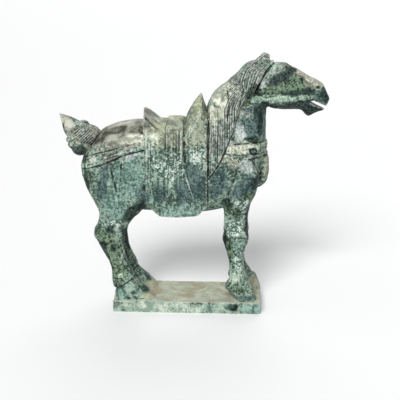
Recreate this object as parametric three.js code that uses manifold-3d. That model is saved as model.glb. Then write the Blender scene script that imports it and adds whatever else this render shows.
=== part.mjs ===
// A jade horse standing on its plinth, carved in one from a single stone.
import * as THREE from "three";
import { mergeVertices } from "three/addons/utils/BufferGeometryUtils.js";
import Module from "manifold-3d";

const wasm = await Module();
wasm.setup();

// Driving sizes in millimetres. The horse faces +X, its right side is at -Y and the floor is z = 0.
const PLINTH_LENGTH = 225;
const PLINTH_DEPTH = 88;
const PLINTH_HEIGHT = 18;
const PLINTH_ROUNDING = 1.5;
const LEG_FOOT = 8;
const FLAP_THICKNESS = 3;
const CLOTH_PLEAT = 5.2;
const CLOTH_PLEAT_DEPTH = 1.2;
const STRAP_THICKNESS = 2.4;
const MANE_THICKNESS = 4;
const MANE_FLUTE = 5.2;
const MANE_FLUTE_DEPTH = 1.2;
const FAR_FORE_HOOF_LEAD = 5;

// A smooth curve through pairs of [place, value] that never swings past its points.
function through(...points) {
  const slopes = points.slice(1).map((p, i) => (p[1] - points[i][1]) / (p[0] - points[i][0]));
  const tangents = points.map((_, i) => tangentAt(points, slopes, i));
  return (place) => {
    const last = points.length - 1;
    if (place <= points[0][0]) return points[0][1];
    if (place >= points[last][0]) return points[last][1];
    const i = points.findIndex((p) => p[0] > place) - 1;
    const span = points[i + 1][0] - points[i][0];
    const t = (place - points[i][0]) / span;
    const rise = points[i + 1][1] - points[i][1];
    const ease = t * t * (3 - 2 * t);
    const start = t * (1 - t) * (1 - t) * span * tangents[i];
    const end = t * t * (t - 1) * span * tangents[i + 1];
    return points[i][1] + rise * ease + start + end;
  };
}

function tangentAt(points, slopes, i) {
  if (i === 0) return slopes[0];
  if (i === points.length - 1) return slopes[i - 1];
  const before = slopes[i - 1];
  const after = slopes[i];
  if (before * after <= 0) return 0;
  return (2 * before * after) / (before + after);
}

// Evenly spaced places from one end to the other, or closer together at both ends.
function spread(from, to, count) {
  return Array.from({ length: count + 1 }, (_, i) => from + ((to - from) * i) / count);
}

function spreadRound(from, to, count) {
  return spread(0, Math.PI, count).map((a) => from + ((to - from) * (1 - Math.cos(a))) / 2);
}

// Rounded-square sections: a point on one, and how far it reaches sideways at a place across it.
function roundSquare(angle, squareness) {
  const c = Math.cos(angle);
  const s = Math.sin(angle);
  const power = 2 / squareness;
  return [Math.sign(c) * Math.abs(c) ** power, Math.sign(s) * Math.abs(s) ** power];
}

function reach(offset, half, squareness) {
  const across = Math.abs(offset / half);
  return across >= 1 ? 0 : (1 - across ** squareness) ** (1 / squareness);
}

function solidOf(points, faces) {
  const corner = (i) => new THREE.Vector3(...points[i]);
  const volume = faces.reduce((sum, f) => sum + corner(f[0]).dot(corner(f[1]).cross(corner(f[2]))), 0);
  const turned = volume < 0 ? faces.map((f) => [f[0], f[2], f[1]]) : faces;
  const geometry = new THREE.BufferGeometry();
  geometry.setAttribute("position", new THREE.Float32BufferAttribute(points.flat(), 3));
  geometry.setIndex(turned.flat());
  return manifoldOf(geometry);
}

function manifoldOf(geometry) {
  geometry.deleteAttribute("normal");
  geometry.deleteAttribute("uv");
  const merged = mergeVertices(geometry, 1e-4);
  return new wasm.Manifold(
    new wasm.Mesh({
      numProp: 3,
      vertProperties: new Float32Array(merged.attributes.position.array),
      triVerts: new Uint32Array(merged.index.array),
    }),
  );
}

// A closed solid through one ring of points after another, with a fan over each end.
function loft(rings) {
  const count = rings[0].length;
  const points = rings.flat();
  const faces = [];
  for (let r = 0; r + 1 < rings.length; r++) {
    for (let i = 0; i < count; i++) {
      const a = r * count + i;
      const b = r * count + ((i + 1) % count);
      faces.push([a, b, b + count], [a, b + count, a + count]);
    }
  }
  for (const first of [0, (rings.length - 1) * count]) {
    const ring = points.slice(first, first + count);
    const middle = [0, 1, 2].map((k) => ring.reduce((sum, p) => sum + p[k], 0) / count);
    points.push(middle);
    for (let i = 0; i < count; i++) {
      const edge = [first + i, first + ((i + 1) % count)];
      faces.push(first === 0 ? [points.length - 1, edge[1], edge[0]] : [points.length - 1, ...edge]);
    }
  }
  return solidOf(points, faces);
}

// A closed slab between two grids of points that share their rows and columns.
function slab(columns, rows, outer, inner) {
  const wide = rows.length;
  const size = columns.length * wide;
  const sheet = (place) => columns.flatMap((u) => rows.map((v) => place(u, v)));
  const points = [...sheet(outer), ...sheet(inner)];
  const faces = [];
  for (let i = 0; i + 1 < columns.length; i++) {
    for (let j = 0; j + 1 < wide; j++) {
      const a = i * wide + j;
      const c = a + wide;
      faces.push([a, c, c + 1], [a, c + 1, a + 1]);
      faces.push([a + size, c + 1 + size, c + size], [a + size, a + 1 + size, c + 1 + size]);
    }
  }
  const rim = (a, b) => faces.push([a, b, b + size], [a, b + size, a + size]);
  for (let i = 0; i + 1 < columns.length; i++) {
    rim((i + 1) * wide, i * wide);
    rim(i * wide + wide - 1, (i + 1) * wide + wide - 1);
  }
  for (let j = 0; j + 1 < wide; j++) {
    rim(j, j + 1);
    rim(size - wide + j + 1, size - wide + j);
  }
  return solidOf(points, faces);
}

function ellipsoid(centre, radii) {
  const ball = new THREE.SphereGeometry(1, 12, 8);
  ball.scale(...radii);
  ball.translate(...centre);
  return manifoldOf(ball);
}

// The trunk: top line, underside and half width along x.
const trunkTop = through(
  [-150, 226], [-146, 246], [-138, 260], [-126, 276], [-112, 283], [-95, 288],
  [-75, 290], [-50, 288], [0, 286], [30, 298], [60, 298], [88, 284], [104, 262], [111, 236],
);
const trunkUnder = through(
  [-150, 210], [-144, 184], [-132, 166], [-115, 157], [-90, 154], [-60, 154],
  [-10, 152], [32, 154], [55, 158], [80, 166], [98, 180], [107, 192], [111, 212],
);
const trunkHalf = through(
  [-150, 8], [-146, 25], [-138, 34], [-125, 41], [-105, 45], [-80, 46],
  [-40, 47], [20, 47], [60, 44], [85, 38], [100, 29], [108, 18], [111, 7],
);
const trunkSquareness = through([-150, 2.2], [-90, 2.3], [-55, 3], [25, 3], [60, 2.4], [111, 2.2]);

function trunkRing(x) {
  const middle = (trunkTop(x) + trunkUnder(x)) / 2;
  const half = (trunkTop(x) - trunkUnder(x)) / 2;
  return spread(0, 2 * Math.PI, 20).slice(1).map((angle) => {
    const [side, rise] = roundSquare(angle, trunkSquareness(x));
    return [x, side * trunkHalf(x), middle + rise * half];
  });
}

function trunkSide(x, z) {
  const middle = (trunkTop(x) + trunkUnder(x)) / 2;
  const half = (trunkTop(x) - trunkUnder(x)) / 2;
  return trunkHalf(x) * reach(z - middle, half, trunkSquareness(x));
}

// The neck: crest line, throat line and half width up z.
const neckBack = through(
  [190, 20], [240, 18], [285, 22], [314, 30], [326, 40], [338, 50], [347, 60],
  [357, 72], [366, 83], [373, 91], [377, 97],
);
const neckFront = through(
  [190, 100], [215, 107], [240, 114], [255, 116.5], [299, 116], [312, 117], [330, 113],
  [350, 106], [368, 101], [377, 100],
);
const neckHalf = through(
  [190, 34], [215, 40], [240, 39], [260, 35], [280, 31], [300, 26], [320, 22],
  [340, 19], [355, 17], [366, 14], [373, 10], [377, 5],
);
const NECK_SQUARENESS = 2.3;

function neckRing(z, extra = 0) {
  const middle = (neckBack(z) + neckFront(z)) / 2;
  const half = (neckFront(z) - neckBack(z)) / 2 + extra;
  return spread(0, 2 * Math.PI, 18).slice(1).map((angle) => {
    const [along, side] = roundSquare(angle, NECK_SQUARENESS);
    return [middle + along * half, side * (neckHalf(z) + extra), z];
  });
}

function neckSide(x, z) {
  if (z > 377) return 0;
  const middle = (neckBack(z) + neckFront(z)) / 2;
  return neckHalf(z) * reach(x - middle, (neckFront(z) - neckBack(z)) / 2, NECK_SQUARENESS);
}

// The legs: back line, front line, half width and distance from the middle plane, up z.
const hind = {
  back: through(
    [8, -97], [20, -97], [28, -103], [36, -113], [46, -114.5], [61, -115], [74, -118], [93, -128],
    [106, -135], [118, -141], [125, -141], [138, -134], [152, -132], [169, -138], [181, -144],
    [194, -150], [206, -154], [224, -157], [241, -153.5], [253, -145], [264, -130],
  ),
  front: through(
    [8, -44], [18, -48], [34, -62], [49, -78], [61, -83], [74, -89], [93, -95], [109, -96],
    [124, -93], [132, -89], [145, -80], [157, -68], [175, -61], [210, -59], [264, -74],
  ),
  half: through(
    [8, 15], [18, 14.5], [34, 13.5], [49, 12.5], [61, 12], [75, 10.5], [93, 10], [110, 11],
    [125, 13], [140, 14], [155, 17], [175, 20.5], [224, 22], [250, 15], [264, 8],
  ),
  centre: through([8, 26], [125, 24], [170, 25], [224, 24], [264, 18]),
  top: 264,
};
const fore = {
  back: through(
    [8, 78], [20, 75], [29, 66], [37, 58], [44, 60], [52, 65], [76, 64], [89, 61], [101, 58],
    [114, 54], [122, 55], [133, 56], [146, 56], [187, 52], [248, 52],
  ),
  front: through(
    [8, 107], [18, 106], [36, 99.5], [51, 93.5], [64, 88], [76, 86.5], [89, 86.5], [102, 89.5],
    [111, 92.5], [119, 93.5], [134, 91.5], [150, 92], [165, 94.5], [175, 98], [187, 103.5], [205, 107],
    [225, 106], [248, 96],
  ),
  half: through(
    [8, 15], [18, 14.5], [34, 13.5], [48, 12], [60, 11.5], [76, 10], [89, 10], [105, 11],
    [119, 13], [140, 13], [160, 15], [180, 18.5], [205, 21], [230, 17], [248, 8],
  ),
  centre: through([8, 26], [140, 23.5], [180, 22], [248, 20]),
  top: 248,
};
const LEG_SQUARENESS = 2.3;

function legRing(leg, side, lead, z) {
  const forward = lead * Math.min(1, Math.max(0, (60 - z) / 30));
  const middle = (leg.back(z) + leg.front(z)) / 2 + forward;
  const half = (leg.front(z) - leg.back(z)) / 2;
  return spread(0, 2 * Math.PI, 12).slice(1).map((angle) => {
    const [along, out] = roundSquare(angle, LEG_SQUARENESS);
    return [middle + along * half, side * leg.centre(z) + out * leg.half(z), z];
  });
}

function legSolid(leg, side, lead = 0) {
  const low = spread(LEG_FOOT, 140, 13);
  const high = spreadRound(151, leg.top, 6);
  return loft([...low, ...high].map((z) => legRing(leg, side, lead, z)));
}

function legSide(leg, x, z) {
  if (z > leg.top) return 0;
  const middle = (leg.back(z) + leg.front(z)) / 2;
  const out = reach(x - middle, (leg.front(z) - leg.back(z)) / 2, LEG_SQUARENESS);
  return out > 0 ? leg.centre(z) + leg.half(z) * out : 0;
}

// How far the bare horse reaches sideways at a place on its side.
function bodySide(x, z) {
  return Math.max(trunkSide(x, z), neckSide(x, z), legSide(hind, x, z), legSide(fore, x, z));
}

// The head: top line, jaw line and half width along x, then the open mouth.
const headTop = through(
  [99, 342], [104, 356], [110, 367], [118, 374], [130, 377], [143, 376.5], [148, 373.5],
  [160, 367.5], [180, 356.5], [198, 346.5], [200.5, 341], [204, 333.5], [208.5, 325],
);
const headUnder = through(
  [99, 334], [104, 326], [112, 317], [120, 311.5], [130, 309], [150, 308.5], [165, 308.5], [170, 305],
  [174, 300.5], [177.5, 298.7], [181, 299.5], [186, 302.5], [192, 305.3], [198, 306.5], [205, 312],
  [208.5, 320],
);
const headHalf = through(
  [99, 8], [104, 17], [112, 21.5], [125, 23], [140, 21.5], [155, 18.5], [170, 15.5], [180, 13],
  [192, 11], [198, 9.5], [204, 7.5], [208.5, 3.5],
);
const mouthHigh = through(
  [179, 322], [184, 322.7], [187, 321.8], [198, 316.8], [203, 314.5], [208.5, 325], [216, 330],
);
const mouthLow = through(
  [179, 321], [184, 317], [190, 314.2], [197.5, 311], [200.5, 309.5], [203, 307], [205, 301],
  [206, 296], [216, 296],
);

function headRing(x) {
  const middle = (headTop(x) + headUnder(x)) / 2;
  const half = (headTop(x) - headUnder(x)) / 2;
  return spread(0, 2 * Math.PI, 18).slice(1).map((angle) => {
    const [side, rise] = roundSquare(angle, 2.4);
    return [x, side * headHalf(x), middle + rise * half];
  });
}

function mouthGap() {
  const places = [179, 184, 187, 190, 194, 197.5, 200.5, 203, 205, 206, 208.5, 216];
  return loft(
    places.map((x) => [
      [x, -30, mouthLow(x)], [x, 30, mouthLow(x)], [x, 30, mouthHigh(x)], [x, -30, mouthHigh(x)],
    ]),
  );
}

function head() {
  const places = [...spreadRound(99, 171, 8), ...spreadRound(176, 208.5, 8)];
  return loft(places.map(headRing)).subtract(mouthGap());
}

const earBack = through([366, 95], [380, 100.5], [385.5, 106], [390, 111]);
const earFront = through([366, 118], [378, 120], [386, 119.5], [390, 112.5]);
const earHalf = through([366, 6.5], [378, 5.5], [386, 3.5], [390, 0.8]);
const EAR_CENTRE = 8.5;

function ear(side) {
  return loft(
    spread(366, 390, 5).map((z) =>
      spread(0, 2 * Math.PI, 8).slice(1).map((angle) => [
        (earBack(z) + earFront(z)) / 2 + (Math.cos(angle) * (earFront(z) - earBack(z))) / 2,
        side * EAR_CENTRE + Math.sin(angle) * earHalf(z),
        z,
      ]),
    ),
  );
}

// The mane hangs from the crest in flutes that run beside the crest line, then straight down.
const crest = through(
  [210, 30], [313, 30], [321, 32.5], [332, 39], [343, 51], [347, 57], [351, 61], [362, 73.5],
  [368, 78.5], [373, 82.5], [377.5, 90], [379, 96],
);
const MANE_WIDTH = 52;
const maneLow = through([0, 212], [4, 216], [22, 244], [29, 260], [38, 284], [46, 310], [52, 332]);
const maneHigh = through([0, 379.5], [29, 376.5], [36, 358], [46, 344], [52, 337]);

const maneBed = through(
  [210, 47], [240, 45], [262, 42], [290, 35], [310, 28.5], [335, 22.5], [352, 19], [366, 14], [374, 9], [380, 4],
);

function fluteAt(across) {
  return MANE_FLUTE_DEPTH * Math.cos((2 * Math.PI * across) / MANE_FLUTE);
}

function mane(side) {
  const outer = (across, v) => {
    const z = maneLow(across) + (maneHigh(across) - maneLow(across)) * v;
    const x = crest(z) + across;
    const roll = Math.sqrt(1 - (1 - Math.min(1, across / 7)) ** 2);
    return [x, side * roll * (maneBed(z) + MANE_THICKNESS + fluteAt(across)), z];
  };
  const inner = (across, v) => {
    const [x, , z] = outer(across, v);
    return [x, -side * 0.5, z];
  };
  return slab(spread(0, MANE_WIDTH, 20), spread(0, 1, 7), outer, inner);
}

// The front lock sweeps from the poll back and down behind the cheek, over the rest of the mane.
const lockBack = through([331, 82], [352.8, 78], [365, 81.4], [379, 97]);
const lockFront = through(
  [331, 91], [335.4, 97], [345, 101.4], [355, 107.6], [367.6, 115.3], [379, 127],
);
const lockBed = through([331, 22.5], [350, 20.5], [366, 14], [379, 5]);
const lockProud = through([331, 4.5], [350, 8], [366, 7.5], [379, 4]);
const LOCK_FLUTES = 5;

function frontLock(side) {
  const outer = (u, z) => {
    const x = lockBack(z) + (lockFront(z) - lockBack(z)) * u;
    const rounding = 0.55 + 0.45 * Math.sin(Math.PI * u) ** 0.7;
    const flute = MANE_FLUTE_DEPTH * Math.cos(2 * Math.PI * LOCK_FLUTES * u);
    return [x, side * (lockBed(z) + lockProud(z) * rounding + flute), z];
  };
  const inner = (u, z) => {
    const [x] = outer(u, z);
    return [x, -side * 0.5, z];
  };
  return slab(spread(0, 1, 2 * LOCK_FLUTES), spread(331, 379, 7), outer, inner);
}

// Cloth on the side of the horse: a slab that stands proud of the body between two heights.
function sideCloth(side, columns, rows, low, high, proud, depth) {
  const place = (x, v) => [x, low(x) + (high(x) - low(x)) * v];
  const outer = (x, v) => {
    const [, z] = place(x, v);
    return [x, side * proud(x, z), z];
  };
  const inner = (x, v) => [x, side * depth, place(x, v)[1]];
  return slab(columns, rows, outer, inner);
}

// The saddle and its flap are one mass, arched over the back. Its rim rises to the cantle behind and
// the pommel before, and both stand higher and further back in the middle than at their ends.
const saddleMiddle = through(
  [-61.5, 309.3], [-57, 305.4], [-50.5, 300.3], [-45, 297], [-38, 294], [-30, 293.5], [-15, 293],
  [-4, 293.5], [-2, 295.5], [0, 300], [6, 307.6], [13, 316.8], [18, 323.4], [23, 329.5], [25.6, 331.8],
  [27.5, 323], [31, 307],
);
const saddleEnd = through(
  [-61.5, 300], [-57, 297], [-50.5, 291.8], [-45, 286.5], [-39, 280], [-33, 275], [-15, 272],
  [-3, 273.5], [1.4, 279.6], [8, 293.8], [14, 303], [19.6, 308.6], [24, 309], [26, 304], [31, 300],
);
const saddleLean = through(
  [-61.5, -3], [-45, -1.8], [-30, 0], [-4, 0], [9, -3.5], [20, -5], [25.6, -5], [31, -3],
);
const rimReach = through(
  [-61.5, 38], [-50, 43], [-39, 48], [-20, 50], [2, 50], [8, 48], [20, 41], [26, 35], [31, 33],
);
const rimChannel = through(
  [-61.5, 0.5], [-57, 3], [-40, 3.2], [-30, 1], [-4, 1], [3, 3], [20, 2.5], [25, 0.3],
);
const SADDLE_ARCH = 1.3;
const CHANNEL_PLACE = 0.9;
const flapHem = through(
  [-61.5, 262], [-59.5, 258], [-58.5, 172], [-53, 168], [-46, 160], [-37, 154], [-16, 153],
  [6, 154], [18, 156], [26, 165], [31, 170],
);
const FLAP_SHOULDER = 250;

function flapSide(x, z) {
  const body = Math.max(trunkSide(x, Math.min(FLAP_SHOULDER, Math.max(z, 180))), 43);
  const up = Math.min(1, Math.max(0, (z - FLAP_SHOULDER) / (saddleEnd(x) - FLAP_SHOULDER)));
  return body + FLAP_THICKNESS + (rimReach(x) - body - FLAP_THICKNESS) * up * up;
}

// A section of the saddle: up the near side from the hem, over the top and down the far side.
function saddleRing(x) {
  const near = [0, 0.35, 0.65, 0.82, 1].map((v) => {
    const z = flapHem(x) + (saddleEnd(x) - flapHem(x)) * v;
    return [x, -flapSide(x, z), z];
  });
  const top = [-CHANNEL_PLACE, -0.8, -0.45, 0, 0.45, 0.8, CHANNEL_PLACE].map((across) => {
    const arch = 1 - Math.abs(across) ** SADDLE_ARCH;
    const channel = Math.abs(across) === CHANNEL_PLACE ? rimChannel(x) : 0;
    const z = saddleEnd(x) + (saddleMiddle(x) - saddleEnd(x)) * arch - channel;
    return [x + saddleLean(x) * arch, rimReach(x) * across, z];
  });
  const far = near.map(([, y, z]) => [x, -y, z]).reverse();
  return [...near, ...top, ...far];
}

function saddle() {
  const places = [
    -61.5, -59.5, -58.5, -54, -49, -43, -37, -30, -17, -3, 1.4, 6, 11, 16, 20, 23, 25.6, 27.5, 31,
  ];
  return loft(places.map(saddleRing));
}

// The pleated cloth lies over the seat and hangs down both sides.
const CLOTH_BACK = -29;
const CLOTH_FRONT = -3.6;
const CLOTH_ROUNDING = 4.5;
const CLOTH_PLACES = [0, 1.2, 3.8, 6.4, 9, 11.6, 14.2, 16.8, 19.4, 22, 24.4, 25.4];
const DRAPE = [
  [46, 168], [50.4, 205], [52.5, 240], [53, 266], [51.5, 277], [46.5, 284], [34, 289.5], [0, 297],
];

function pleatedCloth(side) {
  const rows = DRAPE.map((_, i) => i);
  const fold = (x) => CLOTH_PLEAT_DEPTH * Math.cos((2 * Math.PI * (x + 15)) / CLOTH_PLEAT);
  const sunk = (x) => {
    const inward = Math.min(1, Math.min(x - CLOTH_BACK, CLOTH_FRONT - x) / CLOTH_ROUNDING);
    return CLOTH_ROUNDING * (1 - Math.sqrt(1 - (1 - inward) ** 2));
  };
  const outer = (x, i) => {
    const [y, z] = DRAPE[i];
    const up = Math.min(1, Math.max(0, (z - 268) / 20));
    const out = Math.max(0, y - sunk(x) * (1 - up) + (y === 0 ? 0 : fold(x) * (1 - up)));
    return [x, side * out - (y === 0 ? side * 0.5 : 0), z - sunk(x) * up];
  };
  const inner = (x, i) => {
    const [y, z] = DRAPE[i];
    return [x, side * y * 0.75 - (y === 0 ? side * 0.5 : 0), Math.min(z, 268) - 4 * (i / rows.length)];
  };
  return slab(CLOTH_PLACES.map((along) => CLOTH_BACK + along), rows, outer, inner);
}

// The strap round the rump, the collar round the breast with its disc, and the pendant tassel.
const strapTop = through([-147, 240], [-122, 248], [-88, 260], [-58, 273]);
const strapLow = through([-147, 224], [-120, 235], [-96, 244], [-58, 256]);

function rumpStrap(side) {
  const proud = (x, z) => bodySide(x, z) + STRAP_THICKNESS;
  const columns = spread(-147, -56, 14);
  return sideCloth(side, columns, spread(0, 1, 2), strapLow, strapTop, proud, 12);
}

function collar() {
  const ring = loft([245, 253, 261].map((z) => neckRing(z, STRAP_THICKNESS)));
  const proud = (x, z) => bodySide(x, z) + STRAP_THICKNESS;
  const sides = [-1, 1].map((side) =>
    sideCloth(side, spread(54, 104, 8), spread(0, 1, 2), () => 245, () => 261, proud, 20),
  );
  const discs = [-1, 1].map((side) => ellipsoid([98, side * 30, 251.4], [6.5, 4, 6.5]));
  return joined([ring, ...sides, ...discs]);
}

const tasselFront = through(
  [189, 108], [192, 113], [197, 117.5], [205, 120.5], [215, 122], [232, 121.5], [246, 119],
);
const tasselHalf = through([189, 3], [193, 7], [200, 11], [220, 11], [246, 7]);

function tassel() {
  return loft(
    spread(189, 246, 8).map((z) =>
      spread(0, 2 * Math.PI, 10).slice(1).map((angle) => [
        (tasselFront(z) + 96) / 2 + (Math.cos(angle) * (tasselFront(z) - 96)) / 2,
        Math.sin(angle) * tasselHalf(z),
        z,
      ]),
    ),
  );
}

// The bound tail: a wrapped dock against the rump, loops below, a knot above and a flame tip.
function tailLimb(axis, thick, half, lean, count, sides) {
  return loft(
    spread(0, 1, count).map((t) =>
      spread(0, 2 * Math.PI, sides).slice(1).map((angle) => {
        const out = Math.cos(angle) * thick(t);
        const [x, z] = axis(t);
        return [x + out * Math.sin(lean), Math.sin(angle) * half(t), z + out * Math.cos(lean)];
      }),
    ),
  );
}

function flame() {
  const x = through([0, -190.5], [0.4, -182.5], [0.8, -172], [1, -164]);
  const z = through([0, 298.5], [0.4, 290], [0.8, 277], [1, 267]);
  const thick = through([0, 0.6], [0.4, 7.5], [0.8, 14.5], [1, 15]);
  const half = through([0, 0.6], [0.4, 6], [1, 12]);
  return tailLimb((t) => [x(t), z(t)], thick, half, 0.85, 6, 12);
}

function wrappedDock() {
  const thick = (t) => 11 + 6.5 * Math.sin(Math.PI * (0.1 + 0.8 * t));
  const half = (t) => thick(t) - 3;
  const axis = (t) => [-136 - 32 * t, 261 + 14 * t];
  return tailLimb(axis, thick, half, 0.75, 7, 12);
}

function tail() {
  const loops = [
    ellipsoid([-176.5, 0, 259.5], [6, 8, 5.5]),
    ellipsoid([-173.5, 0, 251.5], [6.5, 8, 6]),
    ellipsoid([-167, 0, 258], [9, 7, 9]),
    ellipsoid([-161.5, 0, 246.5], [13.5, 12, 11.5]),
    ellipsoid([-151, 0, 247], [9, 11, 13]),
    ellipsoid([-155.5, 0, 282.5], [8, 10, 6.3]),
  ];
  return joined([...loops, wrappedDock(), flame()]);
}

// The plinth, and the stone left standing behind the hind heels and before the far fore hoof.
function plinth() {
  const w = PLINTH_LENGTH / 2;
  const d = PLINTH_DEPTH / 2;
  const rings = [[0, 0], [0, PLINTH_HEIGHT - PLINTH_ROUNDING], [PLINTH_ROUNDING, PLINTH_HEIGHT]];
  return loft(
    rings.map(([inset, z]) => [
      [w - inset, d - inset, z], [inset - w, d - inset, z],
      [inset - w, inset - d, z], [w - inset, inset - d, z],
    ]),
  );
}

function mound(side, from, to, half) {
  return loft(
    spread(8, 40, 4).map((z) =>
      spread(0, 2 * Math.PI, 10).slice(1).map((angle) => [
        (from(z) + to(z)) / 2 + (Math.cos(angle) * (to(z) - from(z))) / 2,
        side * 26 + Math.sin(angle) * half(z),
        z,
      ]),
    ),
  );
}

function heelStone(side) {
  const back = through([8, -112.5], [18, -112.2], [28, -110.5], [40, -107]);
  const half = through([8, 17], [18, 16], [40, 10]);
  return mound(side, back, () => -84, half);
}

function toeStone() {
  const front = through([8, 112.5], [18, 112], [28, 110], [40, 105]);
  return mound(1, () => 86, front, through([8, 16], [40, 12]));
}

function joined(solids) {
  return solids.reduce((whole, next) => whole.add(next));
}

function bareHorse() {
  const trunk = loft([...spreadRound(-150, 111, 19)].map(trunkRing));
  const neck = loft(spread(190, 377, 13).map((z) => neckRing(z)));
  const legs = [legSolid(hind, -1), legSolid(hind, 1), legSolid(fore, -1)];
  const farFore = legSolid(fore, 1, FAR_FORE_HOOF_LEAD);
  return joined([trunk, neck, ...legs, farFore, head(), ear(-1), ear(1), tail()]);
}

function dressing() {
  const pairs = [-1, 1].flatMap((side) => [
    mane(side), frontLock(side), pleatedCloth(side), rumpStrap(side), heelStone(side),
  ]);
  return joined([...pairs, saddle(), toeStone(), collar(), tassel()]);
}

function meshOf(name, solid, colour) {
  const made = solid.getMesh();
  const geometry = new THREE.BufferGeometry();
  geometry.setAttribute("position", new THREE.BufferAttribute(new Float32Array(made.vertProperties), 3));
  geometry.setIndex(new THREE.BufferAttribute(new Uint32Array(made.triVerts), 1));
  geometry.computeVertexNormals();
  const material = new THREE.MeshStandardMaterial({ color: colour, roughness: 0.45, metalness: 0 });
  const mesh = new THREE.Mesh(geometry, material);
  mesh.name = name;
  return mesh;
}

const horse = joined([plinth(), bareHorse(), dressing()]);
const jadeHorse = new THREE.Group();
jadeHorse.name = "jade_horse_figure";
jadeHorse.add(meshOf("horse_on_plinth", horse, 0x6f8f80));
export default jadeHorse;
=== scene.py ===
"""A jade horse on its plinth, with its stone, floor, light and camera."""
from math import cos, hypot, pi, radians, sin, sqrt

import bpy
import numpy as np
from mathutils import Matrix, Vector


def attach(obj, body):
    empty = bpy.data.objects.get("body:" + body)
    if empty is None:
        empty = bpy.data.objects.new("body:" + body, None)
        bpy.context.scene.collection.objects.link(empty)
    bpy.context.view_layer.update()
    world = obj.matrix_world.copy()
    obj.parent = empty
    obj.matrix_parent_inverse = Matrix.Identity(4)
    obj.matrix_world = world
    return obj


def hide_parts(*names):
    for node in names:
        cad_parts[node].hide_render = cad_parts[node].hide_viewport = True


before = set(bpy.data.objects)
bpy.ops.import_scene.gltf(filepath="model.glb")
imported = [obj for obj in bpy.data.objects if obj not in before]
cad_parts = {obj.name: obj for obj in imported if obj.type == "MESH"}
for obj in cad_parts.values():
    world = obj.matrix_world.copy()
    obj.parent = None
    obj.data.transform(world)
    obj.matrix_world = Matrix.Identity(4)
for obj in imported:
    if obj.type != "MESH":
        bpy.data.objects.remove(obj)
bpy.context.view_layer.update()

# Sizes are in millimetres until MM turns them into metres.
MM = 0.001
PLINTH_LENGTH = 225
PLINTH_DEPTH = 88
PLINTH_HEIGHT = 18
LEG_FOOT = 8
FLAP_THICKNESS = 3
STRAP_THICKNESS = 2.4
MANE_THICKNESS = 4
MANE_WIDTH = 52
FAR_FORE_HOOF_LEAD = 5
BODY_VOXEL = 1.7
BODY_ROUNDS = 9
SKIN_VOXEL = 0.85
SKIN_ROUNDS = 2
MOST_TRIANGLES = 196000
HOOF_OUT = 26

# The camera, fitted to the plinth's corners in the photograph
CAMERA_LENS = 85
CAMERA_AZIMUTH = 2.724
CAMERA_ELEVATION = 16.445
CAMERA_DISTANCE = 1434.6
CAMERA_TARGET = (18.64, 0, 166.92)


# Curves and noise
def through(*points):
    """A smooth curve through pairs of [place, value] that never swings past its points."""
    place, value = np.array(points, float).T
    slope = np.diff(value) / np.diff(place)
    before = slope[:-1]
    after = slope[1:]
    level = before * after <= 0
    mean = np.where(level, 0, 2 * before * after / np.where(level, 1, before + after))
    tangent = np.concatenate([slope[:1], mean, slope[-1:]])

    def curve(at):
        at = np.clip(np.asarray(at, float), place[0], place[-1])
        i = np.clip(np.searchsorted(place, at, side="right") - 1, 0, len(place) - 2)
        span = place[i + 1] - place[i]
        t = (at - place[i]) / span
        ease = t * t * (3 - 2 * t)
        start = t * (1 - t) * (1 - t) * span * tangent[i]
        end = t * t * (t - 1) * span * tangent[i + 1]
        return value[i] + (value[i + 1] - value[i]) * ease + start + end

    return curve


def rise(value, low, high):
    """0 below low and 1 above high, with a smooth rise between."""
    t = np.clip((value - low) / (high - low), 0, 1)
    return t * t * (3 - 2 * t)


def fall(value, low, high):
    return 1 - rise(value, low, high)


def bell(away, width):
    return np.exp(-((away / width) ** 2))


def ripple(points, wavelength, seed, waves=14):
    """Smooth noise, mostly within 1 of 0: a sum of plane waves in scattered directions."""
    chance = np.random.default_rng(seed)
    total = np.zeros(len(points))
    for _ in range(waves):
        direction = chance.normal(size=3)
        direction *= 2 * pi / (wavelength * chance.uniform(0.7, 1.5) * np.linalg.norm(direction))
        total += np.sin(points @ direction + chance.uniform(0, 2 * pi))
    return total / sqrt(waves)


# Solids as a pair of arrays, points and triangles
def round_angles(count):
    return np.linspace(0, 2 * pi, count, endpoint=False)


def round_square(angle, squareness):
    power = 2 / squareness
    return [np.sign(part) * np.abs(part) ** power for part in (np.cos(angle), np.sin(angle))]


def reach(place, start, end, squareness):
    """How far a rounded square from start to end reaches sideways at a place, as a share."""
    across = np.minimum(np.abs((place - (start + end) / 2) / ((end - start) / 2)), 1)
    return (1 - across ** squareness) ** (1 / squareness)


def turned_out(points, corners):
    """A solid of triangles that all face outward, from columns of the indices of their corners."""
    faces = np.vstack([np.stack(columns, 1) for columns in corners])
    a, b, c = (points[faces[:, k]] for k in range(3))
    volume = np.einsum("ij,ij->i", a, np.cross(b, c)).sum()
    return points, faces if volume > 0 else faces[:, ::-1]


def loft(rings):
    """A closed solid through one ring of points after another, with a fan over each end."""
    rings = np.asarray(rings, float)
    count = rings.shape[1]
    i = np.arange(count)
    j = (i + 1) % count
    corners = []
    for r in range(len(rings) - 1):
        a = r * count
        corners += [(a + i, a + j, a + count + j), (a + i, a + count + j, a + count + i)]
    last = (len(rings) - 1) * count
    middle = 0 * i + last + count
    corners += [(middle, j, i), (middle + 1, last + i, last + j)]
    points = np.vstack([rings.reshape(-1, 3), rings[0].mean(0), rings[-1].mean(0)])
    return turned_out(points, corners)


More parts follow.
